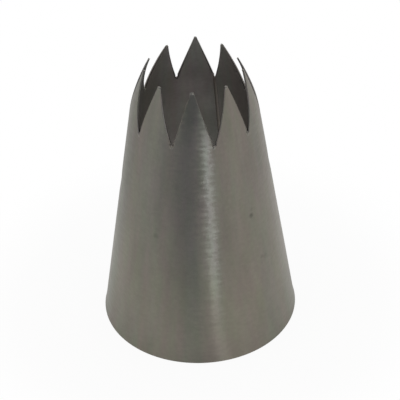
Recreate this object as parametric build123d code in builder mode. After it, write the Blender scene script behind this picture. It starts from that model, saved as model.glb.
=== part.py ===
from build123d import *
from math import cos, radians, sin
import os

# A large open-star piping nozzle of thin stainless sheet, in millimetres.
# The sheet is rolled into a cone, butt-welded along one generator, star-cut at the narrow end
# and pressed inward over a die, so that the teeth form a crown.
# The origin is the centre of the wide rim, +Z runs up the axis to the tips of the teeth,
# and the weld is on the +Y side.

# Driving dimensions of the sheet cone
sheet_thickness = 0.4
rim_diameter = 35.1          # outside, over the flared lip, before its corner is broken
bend_diameter = 22.37        # outside, at the roots of the notches, where the teeth start to bend inward
tip_diameter = 16.6          # outside, across the tips of opposite teeth
tip_lean = 21.8              # degrees by which the tips lean towards the axis
body_height = 42.5           # from the rim to the roots of the notches
tooth_height = 9.4           # from the roots of the notches to the tips

# The lip that stiffens the wide rim
lip_height = 2.0             # the lip turns outward over this height
lip_flare = 0.1              # and ends this far outside the line of the cone
rim_chamfer = 0.15           # broken outer corner of the rim

# The star cut
tooth_count = 10
tip_width = 0.5              # blunt end of each tooth
tip_round = 0.2              # rounded corners of that end
root_radius = 0.15           # rounded root of each notch
flank_bow = 0.2              # how far the middle of a flank is bowed into the tooth

# The weld run that closes the rolled sheet
seam_width = 0.6
seam_crown = 0.1             # the run stands this far proud inside, and is ground flush outside
seam_round = 0.08            # rounded long edges of the run, inside

# One overrun serves all cuts
overrun = 1.0

# A face whose outward direction has more than this share along an axis is taken to face that way
facing_share = 0.5

# Sizes worked out from the ones above
rim_radius = rim_diameter / 2
cone_radius = rim_radius - lip_flare
bend_radius = bend_diameter / 2
tip_radius = tip_diameter / 2
full_height = body_height + tooth_height
lip_radius = cone_radius - (cone_radius - bend_radius) * lip_height / body_height
tip_direction = (-sin(radians(tip_lean)), cos(radians(tip_lean)))
tooth_pitch = 360 / tooth_count
tooth_middle = tip_radius * sin(radians(tooth_pitch / 2))
flank_end = tooth_middle - tip_width / 2
corner_end = flank_end + tip_round
corner_height = full_height - tip_round
root_side_height = body_height + root_radius
flank_middle = ((root_radius + flank_end) / 2 + flank_bow, (root_side_height + corner_height) / 2)


def inward(point, upward, depth):
    """A point of the skin moved into the sheet, square to the upward direction of the skin there."""
    return point + upward.rotate(Axis.Z, 90) * depth


def wall_of_revolution(depth):
    """The full round wall: the outer skin of the nozzle, thickened inward by a depth."""
    with BuildPart() as wall:
        with BuildSketch(Plane.YZ) as section:
            with BuildLine():
                cone = Line((lip_radius, lip_height), (bend_radius, body_height))
                lip = TangentArc(cone @ 0, (rim_radius, 0), tangent=cone % 0 * -1)
                crown = Spline(cone @ 1, (tip_radius, full_height), tangents=(cone % 1, tip_direction))
                inner_cone = Line(inward(cone @ 0, cone % 0, depth), inward(cone @ 1, cone % 1, depth))
                inner_rim = inward(lip @ 1, lip % 1 * -1, depth)
                inner_tip = inward(crown @ 1, crown % 1, depth)
                TangentArc(inner_cone @ 0, inner_rim, tangent=cone % 0 * -1)
                Spline(inner_cone @ 1, inner_tip, tangents=(cone % 1, tip_direction))
                Line(lip @ 1, inner_rim)
                Line(crown @ 1, inner_tip)
            make_face()
            Rectangle(rim_radius, overrun, align=(Align.MIN, Align.MAX), mode=Mode.SUBTRACT)
            chamfer(section.vertices().group_by(Axis.Y)[0].sort_by(Axis.X)[-1], length=rim_chamfer)
        revolve(axis=Axis.Z)
    return wall.part


# One notch of the star, as a cutter that runs from the axis out through the wall at +Y
with BuildPart() as notch_cutter:
    with BuildSketch(Plane.back):
        with BuildLine():
            ThreePointArc((-root_radius, root_side_height), (0, body_height), (root_radius, root_side_height))
            flank = ThreePointArc((root_radius, root_side_height), flank_middle, (flank_end, corner_height))
            corner = RadiusArc(flank @ 1, (corner_end, full_height), tip_round)
            edge = Line(corner @ 1, (corner_end, full_height + overrun))
            Line(edge @ 1, (0, full_height + overrun))
            mirror(about=Plane.YZ)
        make_face()
    extrude(amount=rim_radius + overrun)

# The rolled and star-cut sheet, open along the seam
with BuildPart() as cone_shell:
    add(wall_of_revolution(sheet_thickness))
    with PolarLocations(0, tooth_count):
        add(notch_cutter.part, mode=Mode.SUBTRACT)
    with Locations((0, 0, -overrun)):
        Box(
            seam_width,
            rim_radius + overrun,
            full_height + 2 * overrun,
            align=(Align.CENTER, Align.MIN, Align.MIN),
            mode=Mode.SUBTRACT,
        )
cone_shell.part.label = "cone_shell"

# The weld run between the two edges of the sheet, from the rim to the notch root above it
with BuildPart() as seam_weld:
    add(wall_of_revolution(sheet_thickness + seam_crown))
    Box(
        seam_width,
        rim_radius + overrun,
        full_height + overrun,
        align=(Align.CENTER, Align.MIN, Align.MIN),
        mode=Mode.INTERSECT,
    )
    add(notch_cutter.part, mode=Mode.SUBTRACT)
    inside_faces = seam_weld.faces().filter_by(lambda face: face.normal_at().Y < -facing_share)
    fillet(inside_faces.edges().filter_by(Plane.YZ), radius=seam_round)
seam_weld.part.label = "seam_weld"

os.makedirs("parts", exist_ok=True)
export_step(cone_shell.part, "parts/cone_shell.step")
export_step(seam_weld.part, "parts/seam_weld.step")
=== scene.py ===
import bpy
from math import cos, exp, hypot, pi, radians, sin, sqrt
from mathutils import Matrix, Vector, noise


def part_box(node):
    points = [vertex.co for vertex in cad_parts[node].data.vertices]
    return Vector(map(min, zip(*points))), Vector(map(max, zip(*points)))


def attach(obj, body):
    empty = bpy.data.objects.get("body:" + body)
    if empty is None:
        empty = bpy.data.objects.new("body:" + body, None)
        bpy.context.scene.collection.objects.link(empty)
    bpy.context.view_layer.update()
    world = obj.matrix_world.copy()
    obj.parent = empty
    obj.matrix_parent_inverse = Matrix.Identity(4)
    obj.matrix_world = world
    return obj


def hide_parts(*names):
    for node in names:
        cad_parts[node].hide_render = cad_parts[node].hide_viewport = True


# A large open-star piping nozzle in dull satin stainless sheet, on a pale floor.
# Lengths are in millimetres and turned into metres where a mesh, lamp or camera is made.
# Azimuths run counterclockwise from +X as seen from above. The weld is at +Y.

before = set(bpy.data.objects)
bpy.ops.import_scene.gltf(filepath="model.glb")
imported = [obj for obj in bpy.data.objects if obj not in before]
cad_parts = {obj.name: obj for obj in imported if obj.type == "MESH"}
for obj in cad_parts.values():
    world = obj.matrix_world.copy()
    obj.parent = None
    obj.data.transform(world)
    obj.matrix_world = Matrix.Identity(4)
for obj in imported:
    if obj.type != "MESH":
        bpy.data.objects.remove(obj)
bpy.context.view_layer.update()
METRE = 0.001
rim_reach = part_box("cone_shell")[1].x / METRE

# The sheet and its profile, from the rim up to the tips. A run is a length up the outer skin,
# and a lean is the angle by which the skin leans towards the axis there.
sheet = 0.4
tip_sheet = 0.27              # the sheet thins to this at the tips
tooth_count = 10
pitch = 2 * pi / tooth_count
cone_lean = radians(8.39)
rim_lean = radians(14.1)
lip_run = 1.95                # the lip turns outward over this run
root_height = 42.5
bend_run = 4.0                # the teeth bend inward most over this run above the notch roots
bend_curvature = 0.039
tooth_curvature = 0.016
tooth_run = 9.6
least_turn = 1e-9             # an arc that turns less than this is taken as straight

# The star cut: half the blunt end of a tooth, the radius of its corners, the radius of a notch root,
# and the power by which a notch widens. At 1 its flanks would be straight.
tip_half = 0.16
tip_round = 0.15
root_radius = 0.22
flank_power = 0.96

# Rounded corners of the cut edges of the sheet, where the edge is free, at the rim and along the weld
cut_round = 0.12
rim_round = 0.1
slot_round = 0.015
corner_turns = (0, pi / 6, pi / 3, pi / 2)      # rows of a corner, as angles round its arc
longest_mitre = 1.5           # limits how far a row moves where the outline turns sharply
least_length = 1e-9           # keeps a step of no length from dividing by zero
large_faces_first = 100       # the shading of the large faces leads over that of the corners

# How far the painted highlights reach from a tip, and from the spot under a notch root
tip_glint_reach = 0.3
root_glint_reach = 0.26

# The weld run. Its crown stands proud of the inside, fades at both ends and has bowed ripples.
weld_azimuth = pi / 2
weld_half = 0.3
weld_gap = 0.006
weld_crown = 0.06
weld_ripple_pitch = 0.55
weld_ripple_bow = 0.25
weld_ripple_share = 0.25
weld_fade = 0.8
weld_bare_top = 0.2
slot_reach = 1.2 * weld_half

# How each tooth departs from the regular star, counterclockwise from the weld:
# how far its tip stands to the side, how far it is pressed in beyond the others, and its extra length.
tooth_habits = (
    (-0.20, -0.55, 0.05),
    (-0.15, 0.25, 0.05),
    (-0.10, 0.30, 0.15),
    (-1.35, 0.00, 0.00),
    (-0.65, 0.05, 0.10),
    (-0.05, 0.85, 0.15),
    (0.80, 0.05, 0.12),
    (1.30, -0.25, 0.00),
    (0.25, 0.35, 0.00),
    (0.15, 0.00, 0.00),
)

# How each notch root departs from it, from the notch over the weld: to the side, and up
notch_habits = (
    (0.0, 0.0),
    (0.0, 0.0),
    (0.10, 0.40),
    (0.0, 0.0),
    (-0.35, -0.25),
    (-0.15, 0.15),
    (0.15, 0.10),
    (0.25, -0.10),
    (0.0, 0.0),
    (0.0, 0.0),
)
lift_reach = 2.0              # a high or low root still draws the wall along this far below it
lift_power = 6                # how fast that draw dies away towards the middle of a tooth

# Shallow knocks in the wall: azimuth, height, depth and spread
knocks = (
    (radians(197), 28.0, 0.08, 1.6),
    (radians(24), 31.5, 0.07, 1.4),
    (radians(262), 12.0, 0.02, 3.0),
    (radians(110), 20.0, 0.03, 2.5),
)

# The slight waviness of the whole wall: its depth, and the size of its waves
wall_waviness = 0.012
waviness_size = 9.0

# The rim's corner is rounded, so its lowest and widest points are worked out from the corner's arcs
rim_radius = rim_reach - rim_round + rim_round * (cos(rim_lean) + sin(rim_lean))
rim_height = rim_round + (sheet - rim_round) * sin(rim_lean) - rim_round * cos(rim_lean)


def along_arc(radius, height, lean, run, curvature):
    """A point of the profile moved up the wall by a run, while the wall leans in more and more."""
    new_lean = lean + curvature * run
    if abs(curvature * run) < least_turn:
        return radius - run * sin(lean), height + run * cos(lean), lean
    new_radius = radius + (cos(new_lean) - cos(lean)) / curvature
    new_height = height + (sin(new_lean) - sin(lean)) / curvature
    return new_radius, new_height, new_lean


lip_curvature = (cone_lean - rim_lean) / lip_run
lip_top = along_arc(rim_radius, rim_height, rim_lean, lip_run, lip_curvature)
cone_run = (root_height - lip_top[1]) / cos(cone_lean)
root_run = lip_run + cone_run


def skin(run, press):
    """Radius, height and lean of the outer skin at a run, on a tooth whose tip is pressed in further."""
    extra = 2 * press / tooth_run ** 2
    point = (rim_radius, rim_height, rim_lean)
    stretches = (
        (lip_run, lip_curvature),
        (cone_run, 0.0),
        (bend_run, bend_curvature + extra),
        (2 * tooth_run, tooth_curvature + extra),
    )
    for stretch, curvature in stretches:
        step = min(run, stretch)
        point = along_arc(*point, step, curvature)
        run -= step
        if run <= 0:
            break
    return point


def unevenness(azimuth, height):
    """How far the real wall stands inside the true surface of revolution."""
    sunk = 0.0
    for knock_azimuth, knock_height, depth, spread in knocks:
        turn = (azimuth - knock_azimuth + pi) % (2 * pi) - pi
        away = hypot(turn * rim_radius, height - knock_height) / spread
        sunk += depth * exp(-away ** 2)
    where = Vector((cos(azimuth), sin(azimuth), 0)) * rim_radius + Vector((0, 0, height))
    settled = min(1.0, height / lip_run)
    return sunk + wall_waviness * settled * (1 + noise.noise(where / waviness_size))


def place(azimuth, run, press, depth):
    """A point at a depth under the outer skin, in metres."""
    radius, height, lean = skin(run, press)
    radius -= depth * cos(lean) + unevenness(azimuth, height)
    height -= depth * sin(lean)
    return Vector((radius * cos(azimuth), radius * sin(azimuth), height)) * METRE


root_radius_of_wall = skin(root_run, 0)[0]
root_half = root_radius_of_wall * pitch / 2
flank_cut = root_half - tip_half


def notch_half(rise):
    """Half the width of a notch at a rise above its root, measured on the flat sheet."""
    if rise <= 0:
        return 0.0
    round_part = root_radius
    if rise < root_radius:
        round_part = sqrt(root_radius ** 2 - (root_radius - rise) ** 2)
    return max(round_part, flank_cut * (rise / tooth_run) ** flank_power)


def tooth_half(rise):
    """Half the width of a tooth at a rise above the notch roots, with its tip rounded."""
    half = root_half - notch_half(rise)
    over = rise - (tooth_run - tip_round)
    if over > 0:
        half -= tip_round - sqrt(max(0.0, tip_round ** 2 - over ** 2))
    return half


def notch_rise(half):
    """The rise at which a notch is as wide as twice a half width."""
    if half <= root_radius:
        return root_radius - sqrt(root_radius ** 2 - half ** 2)
    return max(root_radius, tooth_run * (half / flank_cut) ** (1 / flank_power))


def edge_normals(points, loop):
    """For each point of a boundary loop, the way out of the sheet, as parts across and up the wall."""
    ways = {}
    for before, here, after in zip(loop[-1:] + loop[:-1], loop, loop[1:] + loop[:1]):
        radius = skin(points[here][1], points[here][2])[0]
        sides = []
        for start, end in ((before, here), (here, after)):
            across = (points[end][0] - points[start][0]) * radius
            up = points[end][1] - points[start][1]
            length = max(hypot(across, up), least_length)
            sides.append((up / length, -across / length))
        across = sides[0][0] + sides[1][0]
        up = sides[0][1] + sides[1][1]
        length = max(hypot(across, up), least_length)
        mitre = min(2 / length, longest_mitre)
        ways[here] = (across / length * mitre, up / length * mitre, radius)
    return ways


def boundary_loops(faces):
    """The open edges of a grid, chained into loops that keep the sheet on their left."""
    directed = {pair for face in faces for pair in zip(face, face[1:] + face[:1])}
    follow = {start: end for start, end in directed if (end, start) not in directed}
    loops = []
    while follow:
        start = min(follow)
        loop = [start]
        here = follow.pop(start)
        while here != start:
            loop.append(here)
            here = follow.pop(here)
        loops.append(loop)
    return loops


def painted_glint(azimuth, run):
    """How strongly the colour is painted lighter, as painted highlights: most at the tips and in a small
    dot under each notch root.
    """
    notch = round((azimuth - weld_azimuth) / pitch)
    across = (azimuth - notch_azimuth(notch)) * root_radius_of_wall
    up = run - root_run - notch_habits[notch % tooth_count][1] + root_glint_reach
    dot = exp(-(across ** 2 + up ** 2) / root_glint_reach ** 2)
    return dot + exp(-((root_run + tooth_run - run) / tip_glint_reach) ** 2)


def thick_sheet(name, points, faces, rounding, inner_depth):
    """A closed sheet over a grid of (azimuth, run, press), with rounded corners along its cut edges."""
    ways = {}
    loops = boundary_loops(faces)
    for loop in loops:
        ways.update(edge_normals(points, loop))
    corner = {i: rounding(*points[i][:2]) for i in ways}
    verts = []
    glint_paint = []

    def add(i, out, depth):
        azimuth, run, press = points[i]
        # the painted highlight, strongest on the outer skin
        glint_paint.append(painted_glint(azimuth, run) * max(0.0, 1 - depth / sheet))
        if i in ways:
            azimuth += out * ways[i][0] / ways[i][2]
            run += out * ways[i][1]
        verts.append(place(azimuth, run, press, depth))
        return len(verts) - 1

    outer = [add(i, -corner.get(i, 0), 0.0) for i in range(len(points))]
    inner = [add(i, -corner.get(i, 0), inner_depth(*points[i][:2])) for i in range(len(points))]
    solid = [tuple(outer[i] for i in face) for face in faces]
    solid += [tuple(inner[i] for i in reversed(face)) for face in faces]
    kinds = [0] * len(faces) + [1] * len(faces)
    for loop in loops:
        rings = []
        for i in loop:
            size = corner[i]
            deep = inner_depth(*points[i][:2])
            ring = [outer[i]]
            ring += [add(i, -size * (1 - sin(t)), size * (1 - cos(t))) for t in corner_turns[1:]]
            back = corner_turns[:0:-1]
            ring += [add(i, -size * (1 - sin(t)), deep - size * (1 - cos(t))) for t in back]
            ring.append(inner[i])
            rings.append(ring)
        for here, after in zip(rings, rings[1:] + rings[:1]):
            for k in range(len(here) - 1):
                solid.append((after[k], here[k], here[k + 1], after[k + 1]))
                kinds.append(2)
    mesh = bpy.data.meshes.new(name)
    mesh.from_pydata(verts, [], solid)
    mesh.validate()
    mesh.shade_smooth()
    # the painted highlights go to the shader as a mesh attribute
    mesh.attributes.new("glint_paint", "FLOAT", "POINT").data.foreach_set("value", glint_paint)
    obj = bpy.data.objects.new(name, mesh)
    bpy.context.scene.collection.objects.link(obj)
    for polygon, kind in zip(mesh.polygons, kinds):
        polygon.material_index = kind
    shading = obj.modifiers.new("flat_faces_lead", "WEIGHTED_NORMAL")
    shading.weight = large_faces_first
    return obj


# Rows of the grid as runs up the wall, and its columns as shares of half a tooth,
# both close together where the outline turns
first_row = 0.12
lip_rows = (0.0, first_row, 0.25, 0.5, 0.8, 1.2, 1.6, lip_run)
body_row_step = 0.8
rows_under_roots = (0.75, 0.5)
root_rises = (0.0, 0.012, 0.04, 0.09, 0.15, root_radius, 0.32, 0.45, 0.65, 0.9)
flank_rises = (1.2, 1.6, 2.1, 2.6, 3.2, 3.8, 4.4, 5.0, 5.6, 6.2, 6.8, 7.4, 8.0, 8.5, 8.9, 9.15)
tip_rises = (tooth_run - tip_round, 9.44, 9.51, 9.56, 9.585, tooth_run)
tooth_rises = root_rises + flank_rises + tip_rises
half_columns = (0.17, 0.33, 0.5, 0.66, 0.8, 0.9, 0.965, 1)
columns = tuple(-t for t in reversed(half_columns)) + (0,) + half_columns


def body_rows():
    """Runs of the rows below the notch roots."""
    count = round((root_run - lip_run) / body_row_step)
    even = [lip_run + (root_run - lip_run) * i / count for i in range(1, count - 1)]
    return [*lip_rows, *even] + [root_run - under for under in rows_under_roots]


def notch_azimuth(notch):
    """Where a notch root stands, counted from the one over the weld."""
    side = notch_habits[notch % tooth_count][0]
    return weld_azimuth + pitch * notch + side / root_radius_of_wall


def lifted(run, across, tooth):
    """The run of a grid point, drawn up or down near a notch that is cut shallow or deep."""
    left = notch_habits[tooth][1] * ((1 - across) / 2) ** lift_power
    right = notch_habits[(tooth + 1) % tooth_count][1] * ((1 + across) / 2) ** lift_power
    above = run - root_run
    fade = 1 - above / tooth_run if above > 0 else max(0.0, 1 + above / lift_reach)
    return run + fade * (left + right)


def build_cone():
    """The rolled and star-cut sheet, open along the weld."""
    points = []
    faces = []
    rows = body_rows()
    last = tooth_count - 1

    def add(azimuth, run, press):
        points.append((azimuth, run, press))
        return len(points) - 1

    # The rows below the roots run right round, from one side of the weld to the other
    body = []
    for run in rows + [root_run]:
        slot = weld_half / skin(run, 0)[0]
        line = []
        for tooth in range(tooth_count):
            left = notch_azimuth(tooth) + (slot if tooth == 0 else 0)
            right = notch_azimuth(tooth + 1) - (slot if tooth == last else 0)
            for t in columns if tooth == 0 else columns[1:]:
                azimuth = left + (right - left) * (t + 1) / 2
                line.append(add(azimuth, lifted(run, t, tooth), 0.0))
        body.append(line)
    for low, high in zip(body, body[1:]):
        for i in range(len(low) - 1):
            faces.append((low[i], low[i + 1], high[i + 1], high[i]))

    # Each tooth stands on its own stretch of the last of those rows
    step = len(columns) - 1
    for tooth, (shift, press, extra) in enumerate(tooth_habits):
        tip_radius = skin(root_run + tooth_run, press)[0]
        low = body[-1][tooth * step:tooth * step + step + 1]
        for rise in tooth_rises[1:]:
            run = root_run + rise
            radius = skin(run, press)[0]
            cut_away = root_half - tooth_half(rise)
            slot = max(cut_away, weld_half)
            left_cut = slot if tooth == 0 else cut_away
            right_cut = slot if tooth == last else cut_away
            aside = shift / tip_radius * rise / tooth_run
            narrowing = root_half / radius - pitch / 2
            left = notch_azimuth(tooth) + aside + left_cut / radius - narrowing
            right = notch_azimuth(tooth + 1) + aside - right_cut / radius + narrowing
            high = []
            for t in columns:
                azimuth = left + (right - left) * (t + 1) / 2
                high.append(add(azimuth, lifted(run, t, tooth) + extra * rise / tooth_run, press))
            for i in range(step):
                faces.append((low[i], low[i + 1], high[i + 1], high[i]))
            low = high

    def rounding(azimuth, run):
        from_weld = abs((azimuth - weld_azimuth + pi) % (2 * pi) - pi) * skin(run, 0)[0]
        if run < rim_round / 2:
            return rim_round
        if from_weld < slot_reach and run < root_run + notch_rise(weld_half):
            return slot_round
        return cut_round

    def inner_depth(azimuth, run):
        above = min(1.0, max(0.0, (run - root_run) / tooth_run))
        return sheet + (tip_sheet - sheet) * above

    return thick_sheet("rolled_cone", points, faces, rounding, inner_depth)


# Columns on each side of the weld's middle, rows to one ripple, and how the rows close up at its top
weld_columns = 5
rows_per_ripple = 5
weld_top = 0.4
weld_top_shares = (0.25, 0.5, 0.75, 0.9, 1.0)


def build_weld():
    """The weld run, flush outside, proud and rippled inside, up to the root of the notch above it."""
    half = weld_half - weld_gap
    across = [half * i / weld_columns for i in range(-weld_columns, weld_columns + 1)]
    runs = [0.0, first_row]
    while runs[-1] < root_run - weld_top:
        runs.append(runs[-1] + weld_ripple_pitch / rows_per_ripple)
    points = []
    for run in runs:
        radius = skin(run, 0)[0]
        points += [(weld_azimuth + x / radius, run, 0.0) for x in across]
    for share in weld_top_shares:
        for x in across:
            top = root_run + notch_rise(abs(x))
            run = runs[-1] + (top - runs[-1]) * share
            points.append((weld_azimuth + x / skin(run, 0)[0], run, 0.0))
    width = len(across)
    faces = []
    for row in range(len(points) // width - 1):
        for i in range(width - 1):
            corner = row * width + i
            faces.append((corner, corner + 1, corner + 1 + width, corner + width))

    def rounding(azimuth, run):
        if run < rim_round / 2:
            return rim_round
        aside = abs(azimuth - weld_azimuth) * skin(run, 0)[0]
        return slot_round if aside > half - weld_gap and run < root_run else cut_round

    def inner_depth(azimuth, run):
        aside = (azimuth - weld_azimuth) * skin(run, 0)[0] / half
        dip = 0.5 - 0.5 * cos(2 * pi * (run + weld_ripple_bow * aside ** 2) / weld_ripple_pitch)
        ends = min(1.0, run / weld_fade, max(0.0, root_run - weld_bare_top - run) / weld_fade)
        return sheet + weld_crown * ends * max(0.0, 1 - aside ** 2) * (1 - weld_ripple_share * dip)

    return thick_sheet("weld_run", points, faces, rounding, inner_depth)


# The camera of the photograph, as fitted to the rim, the sides, the tips and the notch roots
camera_place = Vector((92.38, -251.60, 229.92))
camera_aim = Vector((0.471, 0.173, 23.17))
camera_roll = radians(-1.69)
camera_lens = 171.66
camera_near = 0.01
camera_far = 100


def build_camera():
    """The camera, aimed and then rolled about its line of sight."""
    data = bpy.data.cameras.new("camera")
    data.lens = camera_lens
    data.clip_start = camera_near
    data.clip_end = camera_far
    camera = bpy.data.objects.new("camera", data)
    bpy.context.scene.collection.objects.link(camera)
    forward = (camera_aim - camera_place).normalized()
    level = forward.cross(Vector((0, 0, 1))).normalized()
    upright = level.cross(forward)
    right = level * cos(camera_roll) + upright * sin(camera_roll)
    up = upright * cos(camera_roll) - level * sin(camera_roll)
    turn = Matrix((right, up, -forward)).transposed().to_4x4()
    camera.matrix_world = Matrix.Translation(camera_place * METRE) @ turn
    bpy.context.scene.camera = camera


class Nodes:
    """Short names for adding and joining the nodes of one material or world.

    An input is given by its name, with _ for a space, or by its number after an x.
    """

    def __init__(self, tree):
        self.tree = tree
        tree.nodes.clear()

    def add(self, kind, settings=None, **inputs):
        node = self.tree.nodes.new(kind)
        for key, value in (settings or {}).items():
            setattr(node, key, value)
        for key, value in inputs.items():
            place_or_name = int(key[1:]) if key[1:].isdigit() else key.replace("_", " ")
            self.put(node.inputs[place_or_name], value)
        return node

    def put(self, socket, value):
        if isinstance(value, bpy.types.Node):
            value = value.outputs[0]
        if isinstance(value, bpy.types.NodeSocket):
            self.tree.links.new(value, socket)
        else:
            socket.default_value = value

    def math(self, operation, *values):
        node = self.add("ShaderNodeMath", {"operation": operation})
        for socket, value in zip(node.inputs, values):
            self.put(socket, value)
        return node.outputs[0]

    def remap(self, value, from_low, from_high, to_low, to_high, smooth=False):
        kind = "SMOOTHSTEP" if smooth else "LINEAR"
        node = self.add("ShaderNodeMapRange", {"interpolation_type": kind})
        for socket, given in zip(node.inputs, (value, from_low, from_high, to_low, to_high)):
            self.put(socket, given)
        return node.outputs[0]

    def mix(self, share, low, high, blend="MIX"):
        node = self.add("ShaderNodeMix", {"data_type": "RGBA", "blend_type": blend})
        for socket, given in zip((node.inputs[0], node.inputs[6], node.inputs[7]), (share, low, high)):
            self.put(socket, given)
        return node.outputs[2]

    def noise(self, vector, detail, rough=0.55):
        node = self.add("ShaderNodeTexNoise", x0=vector)
        node.inputs["Scale"].default_value = 1.0
        node.inputs["Detail"].default_value = detail
        node.inputs["Roughness"].default_value = rough
        return node.outputs[0]


# The tangent runs round the axis. A quarter turn spreads the shine up the wall, across the brushing.
brush_turn = 0.25

# How fine each pattern in the metal is: round the nozzle, and up the wall per metre
streak_grain = (3.5, 18.0)
cloud_grain = (4.42, 76.5)
tint_grain = (7.0, 110.0)
mottling_grain = (20.0, 1500.0)
scratch_grain = (5.0, 2600.0)
fleck_grain = (7.0, 1800.0)

# The span of each pattern that is used, and what it does over that span
streak_span = (0.4, 0.6)
cloud_span = (0.3, 0.7)
cloud_shades = (0.92, 1.08)
mottling_span = (0.25, 0.75)
mottling_shades = (0.96, 1.04)
scratch_span = (0.3, 0.7)
scratch_roughness = 0.015
scratch_relief = 0.4

# The metal is yellower towards the rim, and tinted in patches
yellowing = (1.0, 1.0, 0.95, 1)
yellowing_heights = (0.012, 0.034)
tint_span = (0.35, 0.65)
olive_tint = (0.982, 1.014, 0.965, 1)
rosy_tint = (1.03, 0.968, 1.01, 1)

# Painted highlights: the base colour is painted lighter at the tips and at the spots under the notch
# roots
glint_colour = (0.36, 0.35, 0.32, 1)
glint_span = (0.1, 1.0)
strongest_glint = 0.8

# The turned marks lean a little to either side, more so near the crown,
# which breaks up a narrow highlight into flecks
fleck_span = (0.25, 0.75)
fleck_lean = 0.018
fleck_heights = (0.02, 0.045)
fleck_gains = (1.1, 2.0)

# Spots on the metal, both real scuffs and painted light and shade: azimuth, height, radius, and how much
# darker, or lighter if below zero.
# The outside has small scuffs.
scuffs = (
    (radians(-26.5), 27.0, 0.75, 0.4),
    (radians(-25.4), 28.1, 0.5, 0.15),
    (radians(-18.4), 17.6, 0.8, 0.16),
    (radians(-21.6), 17.9, 0.6, 0.14),
    (radians(-101.8), 24.6, 0.8, 0.16),
)

# Painted reflections and painted shade on the inside: soft lighter and darker places opposite the front
# teeth.
painted_inside_light_and_shade = (
    (radians(112), 40.5, 4.0, -0.2),
    (radians(120), 36.0, 3.5, -0.1),
    (radians(98), 36.5, 3.5, -0.18),
    (radians(131), 29.5, 4.5, 0.14),
    (radians(88), 31.5, 4.0, 0.1),
)

# Painted shade and a painted highlight on the cut edges: darker on the teeth by the weld, and lighter on
# one tooth at the front.
painted_edge_shade_and_highlight = (
    (radians(108), 47.0, 13.0, 0.35),
    (radians(260), 46.5, 4.0, -0.4),
)


def steel(name, colour, warm, roughness, anisotropy, relief_depth, scuffs_and_painted_light=()):
    """Satin stainless: brushed round the axis, streaked up the wall, with painted highlights at tips and
    roots.
    """
    material = bpy.data.materials.new(name)
    material.use_nodes = True
    n = Nodes(material.node_tree)
    position = n.add("ShaderNodeTexCoord").outputs["Object"]
    parts = n.add("ShaderNodeSeparateXYZ", x0=position)
    height = parts.outputs[2]
    azimuth = n.math("ARCTAN2", parts.outputs[1], parts.outputs[0])
    round_way = n.add("ShaderNodeCombineXYZ", x0=n.math("COSINE", azimuth), x1=n.math("SINE", azimuth))

    def wrapped(grain):
        """A point on a cylinder, so that a pattern closes on itself round the nozzle."""
        around, up = grain
        scaled = n.add("ShaderNodeVectorMath", {"operation": "SCALE"}, x0=round_way)
        scaled.inputs["Scale"].default_value = around
        lift = n.add("ShaderNodeCombineXYZ", x2=n.math("MULTIPLY", height, up))
        return n.add("ShaderNodeVectorMath", {"operation": "ADD"}, x0=scaled, x1=lift)

    streaks = n.noise(wrapped(streak_grain), 4.0)
    clouds = n.noise(wrapped(cloud_grain), 3.0)
    tints = n.noise(wrapped(tint_grain), 3.0, 0.6)
    mottling = n.noise(wrapped(mottling_grain), 1.0)
    scratches = n.noise(wrapped(scratch_grain), 0.0)
    flecks = n.noise(wrapped(fleck_grain), 0.0)
    glint_paint = n.add("ShaderNodeAttribute", {"attribute_name": "glint_paint"}).outputs["Fac"]

    tone = n.mix(n.remap(streaks, *streak_span, 0, 1), colour, warm)
    tone = n.mix(n.remap(height, *yellowing_heights, 1, 0), tone, yellowing, "MULTIPLY")
    tint = n.mix(n.remap(tints, *tint_span, 0, 1), olive_tint, rosy_tint)
    tone = n.mix(1.0, tone, tint, "MULTIPLY")

    shade = n.remap(clouds, *cloud_span, *cloud_shades)
    # each spot is a scuff on the outside, and painted light and shade on the inside and the cut edges
    for spot_azimuth, spot_height, size, darkness in scuffs_and_painted_light:
        spot_run = lip_run + (spot_height - lip_run) / cos(cone_lean)
        centre = place(spot_azimuth, spot_run, 0.0, 0.0)
        gap = n.add("ShaderNodeVectorMath", {"operation": "DISTANCE"}, x0=position, x1=centre)
        away = gap.outputs["Value"]
        shade = n.math("MULTIPLY", shade, n.remap(away, 0, size * METRE, 1 - darkness, 1, True))
    shade = n.math("MULTIPLY", shade, n.remap(mottling, *mottling_span, *mottling_shades))
    grey = n.add("ShaderNodeCombineColor", x0=shade, x1=shade, x2=shade)
    shaded = n.mix(1.0, tone, grey, "MULTIPLY")
    # painted highlights: the colour is lighter at the tips and under the notch roots
    final = n.mix(n.remap(glint_paint, *glint_span, 0, strongest_glint), shaded, glint_colour)

    rough_range = (roughness - scratch_roughness, roughness + scratch_roughness)
    rough = n.remap(scratches, *scratch_span, *rough_range)
    relief = n.math("ADD", mottling, n.math("MULTIPLY", scratches, scratch_relief))
    bump = n.add("ShaderNodeBump", Height=relief)
    bump.inputs["Strength"].default_value = 1.0
    bump.inputs["Distance"].default_value = relief_depth * METRE

    tangent = n.add("ShaderNodeTangent", {"direction_type": "RADIAL", "axis": "Z"})
    lean = n.remap(flecks, *fleck_span, -fleck_lean, fleck_lean)
    lean = n.math("MULTIPLY", lean, n.remap(height, *fleck_heights, *fleck_gains))
    sideways = n.add("ShaderNodeVectorMath", {"operation": "SCALE"}, x0=tangent)
    n.put(sideways.inputs["Scale"], lean)
    leaning = n.add("ShaderNodeVectorMath", {"operation": "ADD"}, x0=bump, x1=sideways)
    normal = n.add("ShaderNodeVectorMath", {"operation": "NORMALIZE"}, x0=leaning)

    shader = n.add("ShaderNodeBsdfPrincipled", Base_Color=final, Roughness=rough)
    n.put(shader.inputs["Normal"], normal)
    n.put(shader.inputs["Tangent"], tangent)
    shader.inputs["Metallic"].default_value = 1.0
    shader.inputs["Anisotropic"].default_value = anisotropy
    shader.inputs["Anisotropic Rotation"].default_value = brush_turn
    n.add("ShaderNodeOutputMaterial", Surface=shader)
    return material


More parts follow.
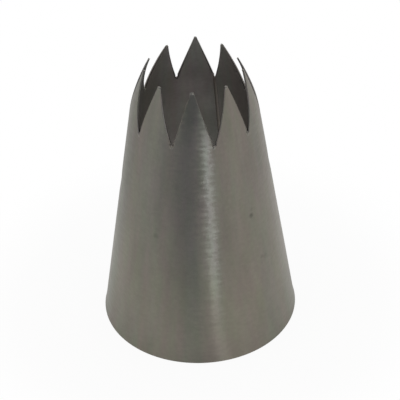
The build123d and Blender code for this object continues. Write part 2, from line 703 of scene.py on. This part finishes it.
outside = steel(
    "satin_steel_outside",
    colour=(0.192, 0.191, 0.166, 1),
    warm=(0.207, 0.195, 0.168, 1),
    roughness=0.36,
    anisotropy=0.87,
    relief_depth=0.008,
    scuffs_and_painted_light=scuffs,
)

# The inside is a lighter copy of the steel, its base colour painted lighter to make up for getting its
# light only through the crown.
inside_painted_lighter = steel(
    "satin_steel_inside_painted_lighter",
    colour=(0.303, 0.304, 0.288, 1),
    warm=(0.322, 0.301, 0.282, 1),
    roughness=0.6,
    anisotropy=0.1,
    relief_depth=0.012,
    # painted reflections and painted shade on the inside
    scuffs_and_painted_light=painted_inside_light_and_shade,
)
cut = steel(
    "cut_edge_steel",
    colour=(0.20, 0.195, 0.185, 1),
    warm=(0.21, 0.195, 0.18, 1),
    roughness=0.33,
    anisotropy=0.0,
    relief_depth=0.006,
    # painted shade and a painted highlight on the cut edges
    scuffs_and_painted_light=painted_edge_shade_and_highlight,
)
weld_skin = steel(
    "ground_weld_steel",
    colour=(0.18, 0.175, 0.155, 1),
    warm=(0.20, 0.18, 0.155, 1),
    roughness=0.48,
    anisotropy=0.4,
    relief_depth=0.006,
)
weld_inside = steel(
    "weld_bead_steel",
    colour=(0.24, 0.23, 0.215, 1),
    warm=(0.27, 0.235, 0.205, 1),
    roughness=0.5,
    anisotropy=0.1,
    relief_depth=0.008,
)

cone = build_cone()
for material in (outside, inside_painted_lighter, cut):
    cone.data.materials.append(material)
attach(cone, "root")
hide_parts("cone_shell")

weld = build_weld()
for material in (weld_skin, weld_inside, cut):
    weld.data.materials.append(material)
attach(weld, "root")
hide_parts("seam_weld")


# The floor keeps a faint shadow round the nozzle, and goes over into the plain white behind it.
# Its share of plain light, for the camera, grows from the nozzle to the floor's edge.
floor_radius = 0.05
floor_sides = 96
floor_colour = (0.84, 0.84, 0.84, 1)
plain_start = 0.03
plain_share = 0.93

# What the metal mirrors of the floor: outside the rim a painted shadow makes it a little dimmer close to
# the nozzle, with a painted sheen, a brighter sector towards the strip lamp
floor_glow = 1.0
rim_shadowed_glow = 0.8
rim_shadow_reach = 0.012
painted_sheen_azimuth = radians(-55)
painted_sheen_half = radians(8)
painted_sheen = 0.35

# Inside the rim a painted shade darkens it at the back and brightens it to the front. The start is a
# share of the rim's radius.
inner_glow_azimuth = radians(-50)
inner_glow_start = -0.7
inner_glow_low = 0.35
inner_glow_high = 0.95


def build_floor():
    """A round pale floor, whose reflections have painted shade inside the nozzle and under its rim, and
    a painted sheen towards the strip lamp.
    """
    turns = [2 * pi * i / floor_sides for i in range(floor_sides)]
    corners = [(floor_radius * cos(turn), floor_radius * sin(turn), 0) for turn in turns]
    mesh = bpy.data.meshes.new("floor")
    mesh.from_pydata(corners, [], [range(floor_sides)])
    floor = bpy.data.objects.new("floor", mesh)
    bpy.context.scene.collection.objects.link(floor)

    material = bpy.data.materials.new("pale_floor")
    material.use_nodes = True
    n = Nodes(material.node_tree)
    position = n.add("ShaderNodeTexCoord").outputs["Object"]
    away = n.add("ShaderNodeVectorMath", {"operation": "LENGTH"}, x0=position).outputs["Value"]
    inner_edge = (rim_reach - sheet / 2) * METRE
    outside_rim = n.math("GREATER_THAN", away, inner_edge)

    toward = (cos(inner_glow_azimuth), sin(inner_glow_azimuth), 0)
    dot = n.add("ShaderNodeVectorMath", {"operation": "DOT_PRODUCT"}, x0=position, x1=toward)
    along = dot.outputs["Value"]
    inner_start = inner_glow_start * inner_edge
    # painted shade on the mirrored floor inside the nozzle, darkest at the back
    inner_glow = n.remap(along, inner_start, inner_edge, inner_glow_low, inner_glow_high, True)

    parts = n.add("ShaderNodeSeparateXYZ", x0=position)
    floor_azimuth = n.math("ARCTAN2", parts.outputs[1], parts.outputs[0])
    from_painted_sheen = n.math("ABSOLUTE", n.math("SUBTRACT", floor_azimuth, painted_sheen_azimuth))
    # painted shadow close to the rim, and a painted sheen towards the strip lamp
    outer_glow = n.remap(away, inner_edge, inner_edge + rim_shadow_reach, rim_shadowed_glow, floor_glow, True)
    outer_glow = n.math("MULTIPLY", outer_glow, n.remap(from_painted_sheen, 0, painted_sheen_half, 1 + painted_sheen, 1, True))
    glow = n.add("ShaderNodeMix", x0=outside_rim, x2=inner_glow, x3=outer_glow)

    # The camera and rays through glass see the lit floor mixed with plain light,
    # and glossy rays see the glow alone
    path = n.add("ShaderNodeLightPath")
    glossy = path.outputs["Is Glossy Ray"]
    seen = n.math("MAXIMUM", path.outputs["Is Camera Ray"], path.outputs["Is Transmission Ray"])
    plain_part = n.remap(away, plain_start, floor_radius, plain_share, 1.0, True)
    seen_share = n.math("MULTIPLY", n.math("MULTIPLY", seen, plain_part), outside_rim)
    share = n.math("MAXIMUM", seen_share, glossy)
    level = n.add("ShaderNodeMix", x0=glossy, x2=1.0, x3=glow)
    lit = n.add("ShaderNodeBsdfDiffuse")
    lit.inputs["Color"].default_value = floor_colour
    plain = n.add("ShaderNodeEmission", Strength=level)
    both = n.add("ShaderNodeMixShader", x0=share, x1=lit, x2=plain)
    n.add("ShaderNodeOutputMaterial", Surface=both)
    mesh.materials.append(material)


# The walls of the studio, which light the nozzle and are what its metal mirrors:
# pale all round, by degrees of azimuth, and a little brighter higher up
wall_levels = ((-180, 0.79), (-150, 0.86), (-45, 0.77), (20, 0.90), (67, 0.86), (110, 0.80), (180, 0.79))
wall_tint = (1.0, 0.99, 0.975)
upward_rise = (0.0, 0.35)
upward_gain = 1.1

# A dim stretch below the horizon in front, which sets in slowly round the nozzle
# and ends near the strip lamp
dim_onset = (radians(-158), radians(-92))
dim_end = (radians(-78), radians(-56))
dim_rise = (-0.02, 0.25)
dim_light = (0.40, 0.43, 0.48, 1)

# Someone who stands behind the camera, dark against the walls
person_azimuth = radians(-74)
person_half = radians(25)
person_soft = radians(8)
person_feet = (0.0, 0.3)
person_head = (0.7, 0.9)
person_light = (0.08, 0.11, 0.15, 1)
plain_white = (1, 1, 1, 1)


def build_world():
    """The studio for the light and the reflections, and plain white for the camera and through glass."""
    world = bpy.data.worlds.new("studio")
    bpy.context.scene.world = world
    world.use_nodes = True
    n = Nodes(world.node_tree)
    way = n.add("ShaderNodeSeparateXYZ", x0=n.add("ShaderNodeTexCoord").outputs["Generated"])
    rise = way.outputs[2]
    azimuth = n.math("ARCTAN2", way.outputs[1], way.outputs[0])

    wall = n.add("ShaderNodeValToRGB", x0=n.remap(azimuth, -pi, pi, 0, 1))
    stops = wall.color_ramp.elements
    while len(stops) < len(wall_levels):
        stops.new(0.5)
    for stop, (degrees, level) in zip(stops, wall_levels):
        stop.position = 0.5 + degrees / 360
        stop.color = [level * tint for tint in wall_tint] + [1]
    brighter = n.add("ShaderNodeVectorMath", {"operation": "SCALE"}, x0=wall)
    n.put(brighter.inputs["Scale"], n.remap(rise, *upward_rise, 1, upward_gain, True))

    onset = n.remap(azimuth, *dim_onset, 0, 1, True)
    sides = n.math("MULTIPLY", onset, n.remap(azimuth, *dim_end, 1, 0, True))
    dimness = n.math("MULTIPLY", sides, n.remap(rise, *dim_rise, 1, 0, True))
    light = n.mix(dimness, brighter, dim_light)

    aside = n.math("ABSOLUTE", n.math("SUBTRACT", azimuth, person_azimuth))
    person = n.remap(aside, person_half - person_soft, person_half + person_soft, 1, 0, True)
    person = n.math("MULTIPLY", person, n.remap(rise, *person_feet, 0, 1, True))
    person = n.math("MULTIPLY", person, n.remap(rise, *person_head, 1, 0, True))
    light = n.mix(person, light, person_light)

    # Glossy rays see the pale walls, the camera and rays through glass the white
    path = n.add("ShaderNodeLightPath")
    seen = n.math("MAXIMUM", path.outputs["Is Camera Ray"], path.outputs["Is Transmission Ray"])
    studio = n.add("ShaderNodeBackground", Color=light)
    white = n.add("ShaderNodeBackground", Color=plain_white)
    both = n.add("ShaderNodeMixShader", x0=seen, x1=studio, x2=white)
    n.add("ShaderNodeOutputWorld", Surface=both)


# The upright strip lamp whose reflection is the band of light up the front.
# Its ends are heights, and its roll turns its top counterclockwise round the nozzle.
lamp_azimuth = radians(-52.0)
lamp_distance = 0.6
lamp_low = -0.36
lamp_high = -0.06
lamp_width = 0.08
lamp_watts = 0.225
lamp_colour = (0.80, 0.91, 1.0)
lamp_roll = radians(8)


def build_lamp():
    """The strip lamp, which faces the axis of the nozzle."""
    data = bpy.data.lights.new("strip_lamp", "AREA")
    data.shape = "RECTANGLE"
    data.size = lamp_width
    data.size_y = lamp_high - lamp_low
    data.energy = lamp_watts
    data.color = lamp_colour
    lamp = bpy.data.objects.new("strip_lamp", data)
    bpy.context.scene.collection.objects.link(lamp)
    across = (lamp_distance * cos(lamp_azimuth), lamp_distance * sin(lamp_azimuth))
    lamp.location = (*across, (lamp_low + lamp_high) / 2)
    lamp.rotation_euler = (pi / 2, lamp_roll, lamp_azimuth + pi / 2)


build_floor()
build_world()
build_lamp()
build_camera()
bpy.context.scene.view_settings.view_transform = "Standard"

bpy.context.view_layer.update()
